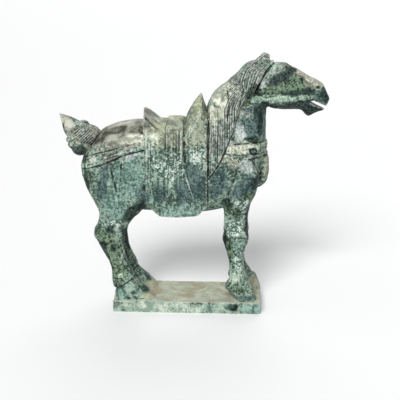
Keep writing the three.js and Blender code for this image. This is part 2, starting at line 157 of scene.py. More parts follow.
def slab(outer, inner):
    """A closed slab between two grids of points."""
    columns, rows, _ = outer.shape
    size = columns * rows
    at = np.arange(size).reshape(columns, rows)
    a, b, c, d = at[:-1, :-1].ravel(), at[:-1, 1:].ravel(), at[1:, 1:].ravel(), at[1:, :-1].ravel()
    corners = [(a, d, c), (a, c, b)]
    corners += [(a + size, c + size, d + size), (a + size, b + size, c + size)]
    rim = np.concatenate([at[::-1, 0], at[0, 1:], at[1:, -1], at[-1, -2::-1]])
    p = rim[:-1]
    q = rim[1:]
    corners += [(p, q, q + size), (p, q + size, p + size)]
    return turned_out(np.vstack([outer.reshape(-1, 3), inner.reshape(-1, 3)]), corners)


def sheet(x, y, z, inner_y):
    """A slab between a grid of points and its shadow on a plane nearer the middle."""
    return slab(np.stack([x, y, z], 2), np.stack([x, 0 * y + inner_y, z], 2))


def oval_ring(centre, along, across, count, lean=0):
    """A ring about centre: along reaches in X, or leaning up from it, and across reaches in Y."""
    angle = round_angles(count)
    out = np.cos(angle) * along
    return np.stack([
        centre[0] + out * cos(lean),
        centre[1] + np.sin(angle) * across,
        centre[2] + out * sin(lean),
    ], 1)


def ellipsoid(centre, radii):
    heights = np.linspace(0.03, pi - 0.03, 24)
    return loft([
        oval_ring((centre[0], centre[1], centre[2] - radii[2] * cos(h)),
                  radii[0] * sin(h), radii[1] * sin(h), 32)
        for h in heights
    ])


def long_tube(start, length, stations, count, top, under, half, squareness):
    """A solid along X between two lines of the side view, with more stations towards its ends."""
    angle = round_angles(count)
    turns = np.linspace(0, pi, stations)
    rings = []
    for x in start + length * (1 - np.cos(turns)) / 2:
        middle = (top(x) + under(x)) / 2
        up = (top(x) - under(x)) / 2
        across, upright = round_square(angle, squareness(x))
        rings.append(np.stack([0 * angle + x, across * half(x), middle + upright * up], 1))
    return loft(rings)


def oval_column(low, high, stations, y, back, front, half, count):
    """An upright solid of level ovals, between a back and a front line of the side view."""
    rings = []
    for z in np.linspace(low, high, stations):
        centre = ((back(z) + front(z)) / 2, y, z)
        rings.append(oval_ring(centre, (front(z) - back(z)) / 2, half(z), count))
    return loft(rings)


# The bare horse: trunk, neck, legs and head from the lines of its outline
trunk_top = through(
    [-150, 226], [-146, 246], [-138, 260], [-126, 276], [-112, 283], [-95, 288],
    [-75, 290], [-50, 288], [0, 286], [30, 298], [60, 298], [88, 284], [104, 262], [111, 236],
)
trunk_under = through(
    [-150, 210], [-144, 184], [-132, 166], [-115, 157], [-90, 154], [-60, 154],
    [-10, 152], [32, 154], [55, 158], [80, 166], [98, 180], [107, 192], [111, 212],
)
trunk_half = through(
    [-150, 8], [-146, 25], [-138, 34], [-125, 41], [-105, 45], [-80, 46],
    [-40, 47], [20, 47], [60, 44], [85, 38], [100, 29], [108, 18], [111, 7],
)
trunk_squareness = through([-150, 2.2], [-90, 2.3], [-55, 3], [25, 3], [60, 2.4], [111, 2.2])


def trunk():
    return long_tube(-150, 261, 70, 64, trunk_top, trunk_under, trunk_half, trunk_squareness)


def trunk_side(x, z):
    return trunk_half(x) * reach(z, trunk_under(x), trunk_top(x), trunk_squareness(x))


neck_back = through(
    [190, 20], [240, 18], [285, 22], [314, 30], [326, 40], [338, 50], [347, 60],
    [357, 72], [366, 83], [373, 91], [377, 97],
)
neck_front = through(
    [190, 100], [215, 107], [240, 114], [255, 116.5], [299, 116], [312, 117], [330, 113],
    [350, 106], [368, 101], [377, 100],
)
neck_half = through(
    [190, 34], [215, 40], [240, 39], [260, 35], [280, 31], [300, 26], [320, 22],
    [340, 19], [355, 17], [366, 14], [373, 10], [377, 5],
)
NECK_SQUARENESS = 2.3
NECK_LOW = 190
NECK_TOP = 377


def neck_ring(z, extra=0.0):
    angle = round_angles(64)
    middle = (neck_back(z) + neck_front(z)) / 2
    half = (neck_front(z) - neck_back(z)) / 2 + extra
    along, side = round_square(angle, NECK_SQUARENESS)
    return np.stack([middle + along * half, side * (neck_half(z) + extra), 0 * angle + z], 1)


def neck_side(x, z):
    side = neck_half(z) * reach(x, neck_back(z), neck_front(z), NECK_SQUARENESS)
    return np.where(z > NECK_TOP, 0, side)


class Leg:
    """A leg's back line, front line, half width and distance from the middle plane, up z."""

    SQUARENESS = 2.3

    def __init__(self, back, front, half, centre, top):
        self.back = through(*back)
        self.front = through(*front)
        self.half = through(*half)
        self.centre = through(*centre)
        self.top = top

    def solid(self, side, lead=0.0):
        angle = round_angles(40)
        along, out = round_square(angle, self.SQUARENESS)
        rings = []
        for z in np.linspace(LEG_FOOT, self.top, 110):
            forward = lead * np.clip((60 - z) / 30, 0, 1)
            middle = (self.back(z) + self.front(z)) / 2 + forward
            half = (self.front(z) - self.back(z)) / 2
            y = side * self.centre(z) + out * self.half(z)
            rings.append(np.stack([middle + along * half, y, 0 * angle + z], 1))
        return loft(rings)

    def side(self, x, z):
        out = reach(x, self.back(z), self.front(z), self.SQUARENESS)
        return np.where((out > 0) & (z <= self.top), self.centre(z) + self.half(z) * out, 0)


hind = Leg(
    back=[
        [8, -97], [20, -97], [28, -103], [36, -113], [46, -114.5], [61, -115], [74, -118], [93, -128],
        [106, -135], [118, -141], [125, -141], [138, -134], [152, -132], [169, -138], [181, -144],
        [194, -150], [206, -154], [224, -157], [241, -153.5], [253, -145], [264, -130],
    ],
    front=[
        [8, -44], [18, -48], [34, -62], [49, -78], [61, -83], [74, -89], [93, -95], [109, -96],
        [124, -93], [132, -89], [145, -80], [157, -68], [175, -61], [210, -59], [264, -74],
    ],
    half=[
        [8, 15], [18, 14.5], [34, 13.5], [49, 12.5], [61, 12], [75, 10.5], [93, 10], [110, 11],
        [125, 13], [140, 14], [155, 17], [175, 20.5], [224, 22], [250, 15], [264, 8],
    ],
    centre=[[8, 26], [125, 24], [170, 25], [224, 24], [264, 18]],
    top=264,
)
fore = Leg(
    back=[
        [8, 78], [20, 75], [29, 66], [37, 58], [44, 60], [52, 65], [76, 64], [89, 61], [101, 58],
        [114, 54], [122, 55], [133, 56], [146, 56], [187, 52], [248, 52],
    ],
    front=[
        [8, 107], [18, 106], [36, 99.5], [51, 93.5], [64, 88], [76, 86.5], [89, 86.5], [102, 89.5],
        [111, 92.5], [119, 93.5], [134, 91.5], [150, 92], [165, 94.5], [175, 98], [187, 103.5],
        [205, 107], [225, 106], [248, 96],
    ],
    half=[
        [8, 15], [18, 14.5], [34, 13.5], [48, 12], [60, 11.5], [76, 10], [89, 10], [105, 11],
        [119, 13], [140, 13], [160, 15], [180, 18.5], [205, 21], [230, 17], [248, 8],
    ],
    centre=[[8, 26], [140, 23.5], [180, 22], [248, 20]],
    top=248,
)


def body_side(x, z):
    """How far the bare horse reaches sideways at a place on its side."""
    return np.maximum.reduce([trunk_side(x, z), neck_side(x, z), hind.side(x, z), fore.side(x, z)])


head_top = through(
    [99, 342], [104, 356], [110, 367], [118, 374], [130, 377], [143, 376.5], [148, 373.5],
    [160, 367.5], [180, 356.5], [198, 346.5], [200.5, 341], [204, 333.5], [208.5, 325],
)
head_under = through(
    [99, 334], [104, 326], [112, 317], [120, 311.5], [130, 309], [150, 308.5], [165, 308.5],
    [170, 305], [174, 300.5], [177.5, 298.7], [181, 299.5], [186, 302.5], [192, 305.3],
    [198, 306.5], [205, 312], [208.5, 320],
)
head_half = through(
    [99, 8], [104, 17], [112, 21.5], [125, 23], [140, 21.5], [155, 18.5], [170, 15.5], [180, 13],
    [192, 11], [198, 9.5], [204, 7.5], [208.5, 3.5],
)
head_squareness = through([99, 2.4], [208.5, 2.4])
mouth_high = through(
    [179, 322], [184, 322.7], [187, 321.8], [198, 316.8], [203, 314.5], [208.5, 325], [216, 330],
)
mouth_low = through(
    [179, 321], [184, 317], [190, 314.2], [197.5, 311], [200.5, 309.5], [203, 307], [205, 301],
    [206, 296], [216, 296],
)


def head():
    return long_tube(99, 109.5, 60, 56, head_top, head_under, head_half, head_squareness)


def mouth_gap():
    rings = []
    for x in np.linspace(179, 216, 38):
        low = mouth_low(x)
        high = mouth_high(x)
        rings.append([(x, -30, low), (x, 30, low), (x, 30, high), (x, -30, high)])
    return loft(rings)


ear_back = through([366, 95], [380, 100.5], [385.5, 106], [390, 111])
ear_front = through([366, 118], [378, 120], [386, 119.5], [390, 112.5])
ear_half = through([366, 6.5], [378, 5.5], [386, 3.5], [390, 0.8])
EAR_CENTRE = 8.5


def ear(side):
    return oval_column(366, 390, 24, side * EAR_CENTRE, ear_back, ear_front, ear_half, 32)


# The mane, which hangs from the crest
crest = through(
    [210, 30], [313, 30], [321, 32.5], [332, 39], [343, 51], [347, 57], [351, 61], [362, 73.5],
    [368, 78.5], [373, 82.5], [377.5, 90], [379, 96],
)
mane_low = through([0, 212], [4, 216], [22, 244], [29, 260], [38, 284], [46, 310], [52, 332])
mane_high = through([0, 379.5], [29, 376.5], [36, 358], [46, 344], [52, 337])
mane_bed = through(
    [210, 47], [240, 45], [262, 42], [290, 35], [310, 28.5], [335, 22.5], [352, 19], [366, 14],
    [374, 9], [380, 4],
)


def mane(side):
    across, v = np.meshgrid(np.linspace(0, MANE_WIDTH, 90), np.linspace(0, 1, 60), indexing="ij")
    z = mane_low(across) + (mane_high(across) - mane_low(across)) * v
    x = crest(z) + across
    roll = np.sqrt(1 - (1 - np.minimum(1, across / 7)) ** 2)
    y = side * roll * (mane_bed(z) + MANE_THICKNESS)
    return sheet(x, y, z, -side * 0.5)


# The front lock, which sweeps from the poll down behind the cheek
lock_back = through([331, 82], [352.8, 78], [365, 81.4], [379, 97], [390, 110])
lock_front = through(
    [331, 91], [335.4, 97], [345, 101.4], [355, 107.6], [367.6, 115.3], [379, 127], [390, 140],
)
lock_bed = through([331, 22.5], [350, 20.5], [366, 14], [379, 5])
lock_proud = through([331, 4.5], [350, 8], [366, 7.5], [379, 4])


def front_lock(side):
    u, z = np.meshgrid(np.linspace(0, 1, 40), np.linspace(331, 379, 40), indexing="ij")
    x = lock_back(z) + (lock_front(z) - lock_back(z)) * u
    rounding = 0.55 + 0.45 * np.sin(pi * u) ** 0.7
    y = side * (lock_bed(z) + lock_proud(z) * rounding)
    return sheet(x, y, z, -side * 0.5)


# The saddle and its flap: one mass, arched over the back from the cantle to the pommel
saddle_middle = through(
    [-61.5, 309.3], [-57, 305.4], [-50.5, 300.3], [-45, 297], [-38, 294], [-30, 293.5], [-15, 293],
    [-4, 293.5], [-2, 295.5], [0, 300], [6, 307.6], [13, 316.8], [18, 323.4], [23, 329.5],
    [25.6, 331.8], [27.5, 323], [31, 307],
)
saddle_end = through(
    [-61.5, 300], [-57, 297], [-50.5, 291.8], [-45, 286.5], [-39, 280], [-33, 275], [-15, 272],
    [-3, 273.5], [1.4, 279.6], [8, 293.8], [14, 303], [19.6, 308.6], [24, 309], [26, 304], [31, 300],
)
saddle_lean = through(
    [-61.5, -3], [-45, -1.8], [-30, 0], [-4, 0], [9, -3.5], [20, -5], [25.6, -5], [31, -3],
)
rim_reach = through(
    [-61.5, 38], [-50, 43], [-39, 48], [-20, 50], [2, 50], [8, 48], [20, 41], [26, 35], [31, 33],
)
rim_channel = through(
    [-61.5, 0.5], [-57, 3], [-40, 3.2], [-30, 1], [-4, 1], [3, 3], [20, 2.5], [25, 0.3],
)
SADDLE_ARCH = 1.3
flap_hem = through(
    [-61.5, 262], [-59.5, 258], [-58.5, 172], [-53, 168], [-46, 160], [-37, 154], [-16, 153],
    [6, 154], [18, 156], [26, 165], [31, 170],
)
FLAP_SHOULDER = 250
CHANNEL_PLACE = 0.9
CHANNEL_WIDTH = 0.055


def flap_side(x, z):
    body = np.maximum(trunk_side(x, np.clip(z, 180, FLAP_SHOULDER)), 43)
    up = np.maximum(0, (z - FLAP_SHOULDER) / (saddle_end(x) - FLAP_SHOULDER))
    return body + FLAP_THICKNESS + (rim_reach(x) - body - FLAP_THICKNESS) * np.minimum(up, 1) ** 2


def saddle_ring(x):
    """A section of the saddle: up the near side, over the top and down the far side."""
    z = np.linspace(flap_hem(x), saddle_end(x), 90)
    side = np.stack([0 * z + x, -flap_side(x, z), z], 1)
    across = np.linspace(-1, 1, 92)[1:-1]
    arch = 1 - np.abs(across) ** SADDLE_ARCH
    channel = rim_channel(x) * bell(np.abs(across) - CHANNEL_PLACE, CHANNEL_WIDTH)
    top_z = saddle_end(x) + (saddle_middle(x) - saddle_end(x)) * arch - channel
    top = np.stack([x + saddle_lean(x) * arch, rim_reach(x) * across, top_z], 1)
    return np.vstack([side, top, (side * (1, -1, 1))[::-1]])


def saddle():
    return loft([saddle_ring(x) for x in np.linspace(-61.5, 31, 200)])


# The pleated cloth over the seat and down both sides
drape_out = through([0, 46], [1, 50.4], [2, 52.5], [3, 53], [4, 51.5], [5, 46.5], [6, 34], [7, 0])
drape_up = through([0, 168], [1, 205], [2, 240], [3, 266], [4, 277], [5, 284], [6, 289.5], [7, 297])
CLOTH_BACK = -29
CLOTH_FRONT = -3.6
CLOTH_ROUNDING = 4.5


def pleated_cloth(side):
    columns = np.linspace(CLOTH_BACK, CLOTH_FRONT, 90)
    x, row = np.meshgrid(columns, np.linspace(0, 7, 90), indexing="ij")
    inward = np.minimum(1, np.minimum(x - CLOTH_BACK, CLOTH_FRONT - x) / CLOTH_ROUNDING)
    sunk = CLOTH_ROUNDING * (1 - np.sqrt(1 - (1 - inward) ** 2))
    on_top = rise(row, 3.5, 6)
    y = side * np.maximum(0, drape_out(row) - sunk * (1 - on_top))
    z = drape_up(row) - sunk * on_top
    inner_y = 0.75 * y - side * 0.5 * (row > 6.9)
    inner_z = np.minimum(z, 268) - 4 * row / 7
    return slab(np.stack([x, y, z], 2), np.stack([x, inner_y, inner_z], 2))


def side_strap(side, from_x, to_x, low, high, depth):
    """A strap that stands proud of the side of the horse, between two heights."""
    x, v = np.meshgrid(np.linspace(from_x, to_x, 100), np.linspace(0, 1, 16), indexing="ij")
    z = low(x) + (high(x) - low(x)) * v
    y = side * (body_side(x, z) + STRAP_THICKNESS)
    return sheet(x, y, z, side * depth)


# The strap round the rump, the collar with its disc on each side, and the tassel
strap_top = through([-147, 240], [-122, 248], [-88, 260], [-58, 273])
strap_low = through([-147, 224], [-120, 235], [-96, 244], [-58, 256])
COLLAR_LOW = 245
COLLAR_HIGH = 261
COLLAR_BACK = 54
COLLAR_FRONT = 104
DISC = (98, 251.4)
collar_low = through([COLLAR_BACK, COLLAR_LOW], [COLLAR_FRONT, COLLAR_LOW])
collar_high = through([COLLAR_BACK, COLLAR_HIGH], [COLLAR_FRONT, COLLAR_HIGH])


def rump_strap(side):
    return side_strap(side, -147, -56, strap_low, strap_top, 12)


def collar(side):
    strap = side_strap(side, COLLAR_BACK, COLLAR_FRONT, collar_low, collar_high, 20)
    return [strap, ellipsoid((DISC[0], side * 30, DISC[1]), (6.5, 4, 6.5))]


def collar_ring():
    heights = np.linspace(COLLAR_LOW, COLLAR_HIGH, 12)
    return loft([neck_ring(z, STRAP_THICKNESS) for z in heights])


tassel_back = through([189, 96], [246, 96])
tassel_front = through(
    [189, 108], [192, 113], [197, 117.5], [205, 120.5], [215, 122], [232, 121.5], [246, 119],
)
tassel_half = through([189, 3], [193, 7], [200, 11], [220, 11], [246, 7])


def tassel():
    return oval_column(189, 246, 40, 0, tassel_back, tassel_front, tassel_half, 40)


# The bound tail: a wrapped dock, loops below it, a knot above it and a flame tip
DOCK_LEAN = pi / 2 - 0.75
FLAME_LEAN = pi / 2 - 0.85
flame_x = through([0, -190.5], [0.4, -182.5], [0.8, -172], [1, -164])
flame_z = through([0, 298.5], [0.4, 290], [0.8, 277], [1, 267])
flame_thick = through([0, 0.6], [0.4, 7.5], [0.8, 14.5], [1, 15])
flame_half = through([0, 0.6], [0.4, 6], [1, 12])
KNOT = (-155.5, 282.5)
TAIL_LOOPS = [
    (-176.5, 259.5, (6, 8, 5.5)), (-173.5, 251.5, (6.5, 8, 6)), (-167, 258, (9, 7, 9)),
    (-161.5, 246.5, (13.5, 12, 11.5)), (-151, 247, (9, 11, 13)), (*KNOT, (8, 10, 6.3)),
]


def flame():
    return loft([
        oval_ring((flame_x(t), 0, flame_z(t)), flame_thick(t), flame_half(t), 48, FLAME_LEAN)
        for t in np.linspace(0, 1, 60)
    ])


def wrapped_dock():
    rings = []
    for t in np.linspace(0, 1, 60):
        thick = 11 + 6.5 * sin(pi * (0.1 + 0.8 * t))
        rings.append(oval_ring((-136 - 32 * t, 0, 261 + 14 * t), thick, thick - 3, 48, DOCK_LEAN))
    return loft(rings)


def tail():
    loops = [ellipsoid((x, 0, z), radii) for x, z, radii in TAIL_LOOPS]
    return [*loops, wrapped_dock(), flame()]


# The plinth, and the stone left behind the hind heels and before the far fore hoof
def plinth():
    w = PLINTH_LENGTH / 2
    d = PLINTH_DEPTH / 2
    rings = []
    for inset, z in [(0, 0), (0, PLINTH_HEIGHT - 1), (1, PLINTH_HEIGHT)]:
        x = w - inset
        y = d - inset
        rings.append([(x, y, z), (-x, y, z), (-x, -y, z), (x, -y, z)])
    return loft(rings)


MOUND_HIGH = 40
heel_back = through([8, -112.5], [18, -112.2], [28, -110.5], [40, -107])
heel_front = through([8, -84], [40, -84])
heel_half = through([8, 17], [18, 16], [40, 10])
toe_back = through([8, 86], [40, 86])
toe_front = through([8, 112.5], [18, 112], [28, 110], [40, 105])
toe_half = through([8, 16], [40, 12])


def mound(y, back, front, half):
    return oval_column(LEG_FOOT, MOUND_HIGH, 20, y, back, front, half, 40)


# Meshes in and out of Blender
def new_object(name, data):
    made = bpy.data.objects.new(name, data)
    bpy.context.scene.collection.objects.link(made)
    return made


def object_of(name, points, faces):
    mesh = bpy.data.meshes.new(name)
    mesh.from_pydata((np.asarray(points) * MM).tolist(), [], np.asarray(faces).tolist())
    return new_object(name, mesh)


def gathered(solids):
    points = []
    faces = []
    start = 0
    for p, f in solids:
        points.append(p)
        faces.append(f + start)
        start += len(p)
    return np.vstack(points), np.vstack(faces)


def work_in_modifiers(piece):
    """Replaces the piece's mesh by the one that its modifiers make."""
    graph = bpy.context.evaluated_depsgraph_get()
    made = bpy.data.meshes.new_from_object(piece.evaluated_get(graph))
    piece.modifiers.clear()
    plain = piece.data
    piece.data = made
    bpy.data.meshes.remove(plain)


def read(items, field, width, kind=np.float32):
    values = np.empty(len(items) * width, kind)
    items.foreach_get(field, values)
    return values.reshape(-1, width)


def points_of(mesh):
    return read(mesh.vertices, "co", 3).astype(float) / MM


def normals_of(mesh):
    return read(mesh.vertex_normals, "vector", 3).astype(float)


def edges_of(mesh):
    return read(mesh.edges, "vertices", 2, np.int32)


def move_points(mesh, points):
    mesh.vertices.foreach_set("co", (points * MM).astype(np.float32).ravel())
    mesh.update()


def neighbour_mean(points, edges):
    a, b = edges.T
    count = len(points)
    near = np.bincount(a, minlength=count) + np.bincount(b, minlength=count)
    near = np.maximum(near, 1)
    total = np.empty_like(points)
    for k in range(points.shape[1]):
        total[:, k] = np.bincount(a, points[b, k], count) + np.bincount(b, points[a, k], count)
    return total / near[:, None]


def relaxed(points, edges, rounds):
    """Points smoothed without shrinking: each round pulls them in and then out again."""
    for _ in range(rounds):
        for pull in (0.5, -0.52):
            points = points + pull * (neighbour_mean(points, edges) - points)
    return points


def remeshed(piece, voxel):
    tool = piece.modifiers.new("skin", "REMESH")
    tool.mode = "VOXEL"
    tool.voxel_size = voxel * MM
    work_in_modifiers(piece)


def cut_by(piece, cutter):
    tool = piece.modifiers.new("cut", "BOOLEAN")
    tool.operation = "DIFFERENCE"
    tool.solver = "EXACT"
    tool.object = cutter
    work_in_modifiers(piece)
    bpy.data.objects.remove(cutter)


def solid_of(mesh):
    mesh.calc_loop_triangles()
    return points_of(mesh), read(mesh.loop_triangles, "vertices", 3, np.int32)


def body_solid():
    """The bare horse with its limbs run softly into one another, and its mouth cut open."""
    neck = loft([neck_ring(z) for z in np.linspace(NECK_LOW, NECK_TOP, 90)])
    legs = [hind.solid(-1), hind.solid(1), fore.solid(-1), fore.solid(1, FAR_FORE_HOOF_LEAD)]
    piece = object_of("body", *gathered([trunk(), neck, *legs, head()]))
    remeshed(piece, BODY_VOXEL)
    move_points(piece.data, relaxed(points_of(piece.data), edges_of(piece.data), BODY_ROUNDS))
    cut_by(piece, object_of("gap", *mouth_gap()))
    solid = solid_of(piece.data)
    bpy.data.objects.remove(piece)
    return solid


def dressing():
    solids = [plinth(), mound(HOOF_OUT, toe_back, toe_front, toe_half), tassel(), saddle()]
    solids += [collar_ring(), *tail()]
    for side in (-1, 1):
        solids += [ear(side), mane(side), front_lock(side), pleated_cloth(side), rump_strap(side)]
        solids += [*collar(side), mound(side * HOOF_OUT, heel_back, heel_front, heel_half)]
    return solids


# Fine carving, as heights over the smooth form. Each cut has its route (x, z), width and depth.
SIDE_CUTS = {
    "saddle front edge": ([(31.2, 306), (31.6, 250), (32.5, 178)], 1.5, 1.1),
    "seat cloth front edge": ([(-1.4, 268), (-1.2, 256), (-1, 238)], 1.6, 1.9),
    "seat cloth rear edge": ([(-29.5, 288), (-29, 258)], 0.9, 0.6),
    "flap rear fold": ([(-59, 272), (-59, 190)], 0.8, 0.7),
    "flap rear border": ([(-50.5, 270), (-51, 232), (-52, 186)], 0.8, 0.8),
    "flap low fold behind": ([(-33, 209), (-31, 179)], 0.9, 0.9),
    "flap low fold middle": ([(-12.4, 236), (-12.8, 175)], 0.8, 0.8),
    "flap low fold slanting": ([(0, 238), (3.5, 212), (12, 184)], 0.9, 0.9),
    "flap low fold in front": ([(24, 212), (24, 182)], 0.8, 0.7),
    "flap fold at the seat": ([(-6, 241), (-6.6, 211)], 0.8, 0.7),
    "strap upper line": (
        [(-150, 240), (-141, 243.5), (-120, 250), (-97, 256.5), (-79, 262), (-60, 270)], 0.9, 0.9,
    ),
    "strap lower line": ([(-157, 222), (-122, 231), (-106, 238), (-92, 246), (-62, 254)], 1.5, 1.4),
    "buttock border": ([(-131, 271), (-142, 254), (-148.5, 236), (-151, 224)], 0.9, 0.8),
    "croup edge": ([(-141, 254), (-128, 266), (-112, 275), (-90, 278), (-62, 278)], 2.2, 0.8),
    "thigh fold behind": ([(-111, 232), (-107, 213), (-100, 183)], 1.8, 1.5),
    "thigh fold before": ([(-94.5, 232), (-96.5, 206), (-100, 183)], 1.6, 1.4),
    "flank": ([(-62, 205), (-60, 186), (-66, 170)], 3.5, 1.2),
    "mane front edge": ([(76, 312), (70, 292), (62, 266), (53, 243), (40, 221), (33, 212)], 1.3, 1.6),
    "mane rear mass": ([(55, 350), (60, 336), (62, 318), (60, 298)], 1.1, 1.4),
    "mane middle mass": ([(84, 350), (80, 330), (75, 310)], 1.1, 1.5),
    "cheek edge": (
        [(126, 377), (116, 367.6), (108.5, 355), (102.2, 345), (98, 335.4), (92, 331)], 1.9, 1.4,
    ),
    "shoulder line": ([(76, 228), (67, 201), (57, 177)], 2.4, 0.9),
    "tassel edge": ([(100, 233), (104, 226), (109, 213), (111.5, 200)], 1.6, 1.7),
    "strap above the disc": ([(84, 268), (91, 270.5), (98, 269.5)], 1.6, 1.1),
    "strap below the disc": ([(92, 239.5), (97, 237.5), (100, 231)], 1.8, 1.2),
    "jaw seam": ([(99, 336), (105, 331), (113, 329), (126, 330.5), (142, 333), (158, 333)], 1.5, 0.8),
    "jaw underside": ([(108, 320), (122, 319), (150, 320.5), (172, 322)], 2.4, 0.9),
    "mouth corner": ([(181, 321), (175, 326)], 0.9, 1.0),
    "cantle lower edge": ([(-59, 299), (-48, 290.5), (-38.5, 283)], 1.1, 1.4),
    "cantle upper edge": ([(-54, 301), (-44, 293), (-36, 286.5)], 0.8, 0.8),
    "inner edge of the hind leg": ([(-101, 112), (-98, 96), (-92, 74)], 0.9, 0.9),
    "hind sole": ([(-96, 21), (-64, 20.5)], 0.9, 1.0),
    "muzzle fold": ([(176, 343), (182, 334), (183, 325)], 1.8, 0.7),
}
COLLAR_CUTS = [(240, 82, 1.0, 1.1), (247, 57, 1.0, 1.2), (254.5, 84, 0.9, 0.7), (263, 66, 1.0, 1.2)]
NOSTRIL = (190.5, 342.5)
MANE_PITCH = 3.3
MANE_DEPTH = 1.5
LOCK_STRANDS = 8
LOCK_DEPTH = 1.4
CLOTH_PITCH = 4.3
CLOTH_DEPTH = 1.0
WRAP_PITCH = 3.2


def route_distance(x, z, route):
    """How far each place is from a route of straight stretches."""
    nearest = np.full(x.shape, 1e9)
    for (ax, az), (bx, bz) in zip(route[:-1], route[1:]):
        dx = bx - ax
        dz = bz - az
        t = np.clip(((x - ax) * dx + (z - az) * dz) / (dx * dx + dz * dz), 0, 1)
        nearest = np.minimum(nearest, np.hypot(x - ax - t * dx, z - az - t * dz))
    return nearest


def flute(phase, seed):
    """Rounded ridges from 0 down to -1, with a sharp valley of uneven depth at each whole phase."""
    depth = np.random.default_rng(seed).uniform(0.45, 1, 64)
    valley = (0.5 + 0.5 * np.cos(2 * pi * phase)) ** 1.5
    return -valley * depth[np.round(phase).astype(int) % 64]


def inside(value, low, high, soft):
    above = rise(value, low - soft, low + soft)
    return above * fall(value, high - soft, high + soft)


def lock_place(x, z):
    return (x - lock_back(z)) / (lock_front(z) - lock_back(z))


def in_lock(x, z):
    return inside(lock_place(x, z), 0, 1, 0.04) * inside(z, 332, 391, 1.5)


def in_mane(x, z):
    across = x - crest(z)
    height = rise(z - mane_low(across), 0, 4) * fall(z - mane_high(across), -3, 0)
    return inside(across, 1, MANE_WIDTH - 1, 1) * height * (1 - in_lock(x, z))


def side_cuts(points, outward):
    """The depth of the lines cut into the sides, and how deep in a line each place lies, up to 1, for
    painted shade and grime.
    """
    x, _, z = points.T
    depth = np.zeros(len(x))
    grime_and_shade = np.zeros(len(x))
    uneven = np.clip(0.8 + 0.35 * ripple(points, 9, 41), 0.25, 1.3)
    for route, width, cut in SIDE_CUTS.values():
        corners = np.array(route, float)
        margin = 4 * width
        low = corners.min(0) - margin
        high = corners.max(0) + margin
        beside = (x > low[0]) & (x < high[0]) & (z > low[1]) & (z < high[1])
        near = np.flatnonzero(beside & (outward > 0))
        line = bell(route_distance(x[near], z[near], route), width) * outward[near]
        line *= uneven[near]
        depth[near] = np.maximum(depth[near], cut * line)
        # Painted shade and grime along each cut line.
        grime_and_shade[near] = np.maximum(grime_and_shade[near], min(1, 0.35 + 0.35 * cut) * line)
    return depth, grime_and_shade


def fluting(points, outward):
    """Heights of the fluted parts: mane, front lock, seat cloth, pommel and low flap."""
    x, _, z = points.T
    sway = 0.12 * ripple(points, 26, 5)
    across = x - crest(z)
    smooth_part = bell(x - 43, 17) * bell(z - 322, 26)
    strands = flute(across / MANE_PITCH + sway, 11)
    height = MANE_DEPTH * (1 - 0.75 * smooth_part) * in_mane(x, z) * strands
    height += LOCK_DEPTH * in_lock(x, z) * flute(lock_place(x, z) * LOCK_STRANDS + 2 * sway, 12)
    cloth = inside(x, -27, -5, 1) * rise(z, 215, 265) * fall(z, 280, 292)
    height += CLOTH_DEPTH * cloth * flute(x / CLOTH_PITCH + sway, 13)
    pommel = inside(x, 14, 29.5, 1) * rise(z, 262, 285)
    height += 0.5 * pommel * flute(x / 3 + sway, 14)
    low_flap = inside(x, -58, 29, 3) * inside(z, 165, 262, 8)
    height += 0.3 * low_flap * flute(x / 6.2 + 3 * sway, 15)
    return height * outward


def chest_carving(points, outward):
    """The collar's lines and discs, the crossed hatching below it and the nostril."""
    x, _, z = points.T
    height = np.zeros(len(x))
    dashes = np.clip(0.75 + 0.5 * ripple(points, 11, 42), 0.1, 1.3) * (1 - in_mane(x, z))
    for level, start, width, cut in COLLAR_CUTS:
        height -= cut * dashes * rise(x, start, start + 5) * bell(z - level, width)
    from_disc = np.hypot(x - DISC[0], z - DISC[1])
    height -= 1.0 * bell(from_disc - 4.2, 1.3) * outward
    patch = inside(x, 61, 79, 1.5) * inside(z, 223, 243, 1.5) * outward
    crossed = np.minimum(flute((x + z) / 4.2, 16), flute((x - z) / 4.2, 17))
    height += 0.7 * patch * crossed
    jaw = route_distance(x, z, [(104, 322), (120, 327), (142, 330), (172, 333)])
    height += 1.1 * bell(jaw, 3.2) * outward * (x > 100)
    nostril = np.hypot((x - NOSTRIL[0]) / 2.8, (z - NOSTRIL[1]) / 1.8)
    height -= 2.0 * bell(nostril, 1) * outward
    height += 0.7 * bell(nostril - 1.9, 0.6) * outward
    return height


def rear_carving(points, outward):
    """The slanting hatch on the rump strap, and the turns of the bound tail and of its knot."""
    x, _, z = points.T
    strap = inside(z - strap_low(x), 3, 11, 1.5) * inside(x, -124, -92, 4) * outward
    height = 0.6 * strap * flute((x - 1.2 * z) / 4.5, 18)
    from_knot = np.hypot((x - KNOT[0]) / 8, (z - KNOT[1]) / 6.3)
    dock = inside(x, -167, -140, 3) * inside(z + 0.35 * (x + 152), 256, 281, 3)
    dock *= rise(from_knot, 0.9, 1.1)
    height += 1.4 * dock * flute(0.71 * (z - x) / WRAP_PITCH, 19)
    height += 1.0 * (from_knot < 1.05) * flute(2.6 * from_knot, 20)
    return height


def hoof_cuts(points):
    """A line round each leg where the pastern meets the hoof."""
    x, y, z = points.T
    height = np.zeros(len(x))
    for low_x, low_z, high_x, high_z, cut in [(-104, 36.5, -77, 54, 1.3), (66, 36, 93, 53, 0.4)]:
        slope = (high_z - low_z) / (high_x - low_x)
        away = (z - low_z - slope * (x - low_x)) / hypot(1, slope)
        along = inside(x, low_x - 9, high_x + 8, 1.5)
        height -= cut * along * bell(away, 1.3) * (z < 62)
    return height


def worn(points):
    """The slight unevenness that tools and wear leave all over."""
    return 0.25 * ripple(points, 17, 21) + 0.08 * ripple(points, 7, 22)


